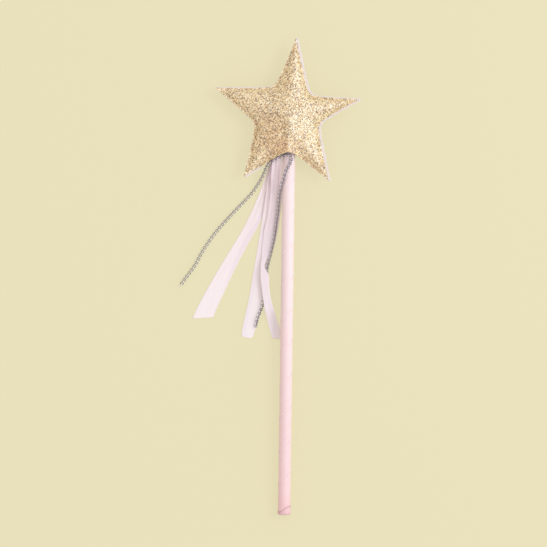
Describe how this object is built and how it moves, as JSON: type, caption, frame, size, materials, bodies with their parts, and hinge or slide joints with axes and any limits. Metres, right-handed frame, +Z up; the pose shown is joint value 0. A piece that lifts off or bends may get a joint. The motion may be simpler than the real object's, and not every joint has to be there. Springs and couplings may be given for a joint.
{
  "type": "toy magic wand",
  "caption": "Lying toy wand: puffed glitter star on a ribbon-wound stick, with ribbon streamers and a fine link chain hanging from the open corner of the star.",
  "frame": {"origin": "On the table, under the middle of the box round stick and star; the wand rests on the butt and on the back of the star.", "axes": "+Y runs along the stick towards the star, +Z is up out of the star's front face, +X is to the right seen from above."},
  "size_m": [0.1317, 0.3502, 0.0233],
  "materials": {
    "dowel_wood": "bare dowel",
    "pink_satin": "satin ribbon",
    "gold_glitter": "glitter-coated fabric",
    "filling": "loose polyester fibre",
    "pale_edge": "pale felt strip",
    "clear_glue": "hot-melt glue",
    "pale_ribbon": "thin translucent satin ribbon",
    "chain_steel": "pewter-toned wire links"
  },
  "bodies": {
    "wand": {"stick_core": "dowel_wood", "stick_wrap": "pink_satin", "butt_turn": "pink_satin", "butt_fold": "pink_satin", "star_front_panel": "gold_glitter", "star_back_panel": "gold_glitter", "star_filling": "filling", "seam_strip": "pale_edge", "mouth_glue": "clear_glue", "ribbon_tucks": "pale_ribbon", "chain_neck": "chain_steel"},
    "left_chain": {"chain_left": "chain_steel"},
    "left_streamer": {"streamer_left": "pale_ribbon"},
    "middle_streamer": {"streamer_middle": "pale_ribbon"},
    "right_streamer": {"streamer_right": "pale_ribbon"},
    "right_chain": {"chain_right": "chain_steel"}
  },
  "joints": [
    {"name": "left_chain_swing", "type": "hinge", "parent": "wand", "child": "left_chain", "pos_m": [-0.01498, 0.08241, 0.01018], "axis": [0, 0, 1], "range_deg": [-25, 2]},
    {"name": "left_streamer_swing", "type": "hinge", "parent": "wand", "child": "left_streamer", "pos_m": [-0.009, 0.08841, 0.006], "axis": [0, 0, 1], "range_deg": [-2, 12]},
    {"name": "middle_streamer_swing", "type": "hinge", "parent": "wand", "child": "middle_streamer", "pos_m": [-0.009, 0.08841, 0.008], "axis": [0, 0, 1], "range_deg": [-6, 6]},
    {"name": "right_streamer_swing", "type": "hinge", "parent": "wand", "child": "right_streamer", "pos_m": [-0.009, 0.08841, 0.01], "axis": [0, 0, 1], "range_deg": [-8, 0]},
    {"name": "right_chain_swing", "type": "hinge", "parent": "wand", "child": "right_chain", "pos_m": [0.00165, 0.08626, 0.01565], "axis": [0, 0, 1], "range_deg": [-8, 0]}
  ],
  "couplings": [
    {"joint": "right_chain_swing", "follows": "right_streamer_swing", "ratio": 1}
  ]
}
